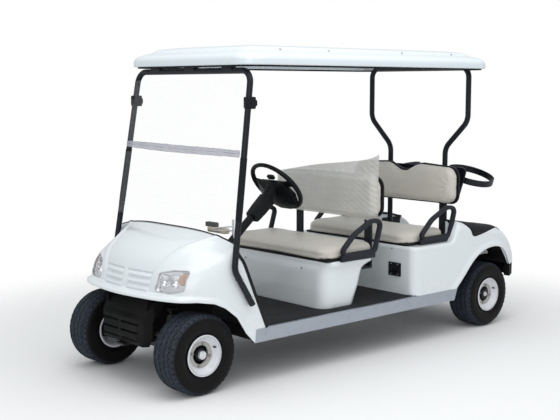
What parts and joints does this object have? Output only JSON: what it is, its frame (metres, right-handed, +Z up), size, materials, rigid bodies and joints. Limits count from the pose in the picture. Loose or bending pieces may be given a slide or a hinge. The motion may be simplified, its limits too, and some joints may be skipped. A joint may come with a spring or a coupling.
{
  "type": "four-seat golf cart",
  "caption": "Open electric golf cart with forward-facing benches, a moulded roof on tubular hoops, a folding windscreen and a rear bag rack.",
  "frame": {"origin": "on the ground, midway between nose and tail, on the centreline", "axes": "+X forward, +Y to the left, +Z up"},
  "size_m": [3.15, 1.2278, 1.9549],
  "materials": {
    "frame": "satin black powder coat",
    "body_white": "gloss white moulded skin",
    "black_plastic": "grained black plastic",
    "lamp_clear": "clear lamp lens",
    "lamp_red": "red lamp lens",
    "mat": "ribbed black rubber",
    "alu": "brushed extrusion",
    "battery": "dark case",
    "tube_black": "black powder coat",
    "screen": "clear acrylic",
    "film": "clear crinkled strip",
    "vinyl": "cream vinyl",
    "steel": "bare and plated steel",
    "tyre": "ribbed rubber",
    "rim_white": "light grey enamel"
  },
  "bodies": {
    "chassis": {"frame_rails": "frame", "crossmembers": "frame", "front_cowl": "body_white", "dashboard": "black_plastic", "front_guard": "black_plastic", "headlamps": "lamp_clear", "floor_pan": "mat", "sills": "alu", "front_seat_pod": "body_white", "battery_pack": "battery", "rear_body": "body_white", "bag_well": "black_plastic", "rear_bumper": "black_plastic", "tail_lamps": "lamp_red", "charging_port": "black_plastic", "front_roof_frame": "tube_black", "rear_roof_frame": "tube_black", "roof_canopy": "body_white", "windscreen_panes": "screen", "windscreen_strip": "film", "steering_column": "black_plastic", "pedals": "black_plastic", "backrests": "vinyl", "backrest_frames": "black_plastic", "armrests": "tube_black", "bag_rack": "tube_black", "rear_axle": "steel", "front_axle": "steel", "suspension": "steel"},
    "steering_wheel": {"steering_wheel": "black_plastic"},
    "tie_rod": {"tie_rod": "steel"},
    "knuckle_left": {"knuckle_left": "steel"},
    "knuckle_right": {"knuckle_right": "steel"},
    "front_seat": {"front_seat_lid": "black_plastic", "front_seat_cushion": "vinyl"},
    "rear_seat": {"rear_seat_lid": "black_plastic", "rear_seat_cushion": "vinyl"},
    "wheel_front_left": {"tyre_front_left": "tyre", "rim_front_left": "rim_white"},
    "wheel_front_right": {"tyre_front_right": "tyre", "rim_front_right": "rim_white"},
    "wheel_rear_left": {"tyre_rear_left": "tyre", "rim_rear_left": "rim_white"},
    "wheel_rear_right": {"tyre_rear_right": "tyre", "rim_rear_right": "rim_white"}
  },
  "joints": [
    {"name": "steering_wheel_turn", "type": "hinge", "parent": "chassis", "child": "steering_wheel", "pos_m": [0.565, 0.265, 1.104], "axis": [-0.7593, 0, 0.6508], "range_deg": [-450, 450]},
    {"name": "left_wheel_steer", "type": "hinge", "parent": "chassis", "child": "knuckle_left", "pos_m": [1.343, 0.31, 0.2285], "axis": [0, 0, 1], "range_deg": [-30, 30]},
    {"name": "right_wheel_steer", "type": "hinge", "parent": "chassis", "child": "knuckle_right", "pos_m": [1.343, -0.31, 0.2285], "axis": [0, 0, 1], "range_deg": [-30, 30]},
    {"name": "tie_rod_shift", "type": "slide", "parent": "chassis", "child": "tie_rod", "axis": [0, -1, 0], "range_m": [-0.0551, 0.0551]},
    {"name": "front_left_wheel_spin", "type": "hinge", "parent": "knuckle_left", "child": "wheel_front_left", "pos_m": [1.343, 0.445, 0.2285], "axis": [0, 1, 0], "continuous": true},
    {"name": "front_right_wheel_spin", "type": "hinge", "parent": "knuckle_right", "child": "wheel_front_right", "pos_m": [1.343, -0.445, 0.2285], "axis": [0, 1, 0], "continuous": true},
    {"name": "rear_left_wheel_spin", "type": "hinge", "parent": "chassis", "child": "wheel_rear_left", "pos_m": [-1.227, 0.445, 0.2285], "axis": [0, 1, 0], "continuous": true},
    {"name": "rear_right_wheel_spin", "type": "hinge", "parent": "chassis", "child": "wheel_rear_right", "pos_m": [-1.227, -0.445, 0.2285], "axis": [0, 1, 0], "continuous": true},
    {"name": "front_seat_lift", "type": "hinge", "parent": "chassis", "child": "front_seat", "pos_m": [-0.101, 0, 0.6393], "axis": [0, -1, 0], "range_deg": [0, 60]},
    {"name": "rear_seat_lift", "type": "hinge", "parent": "chassis", "child": "rear_seat", "pos_m": [-0.813, 0, 0.6643], "axis": [0, -1, 0], "range_deg": [0, 60]}
  ],
  "couplings": [
    {"joint": "left_wheel_steer", "follows": "steering_wheel_turn", "ratio": 0.066667},
    {"joint": "right_wheel_steer", "follows": "steering_wheel_turn", "ratio": 0.066667},
    {"joint": "tie_rod_shift", "follows": "steering_wheel_turn", "m_per_rad": 0.0070028}
  ]
}
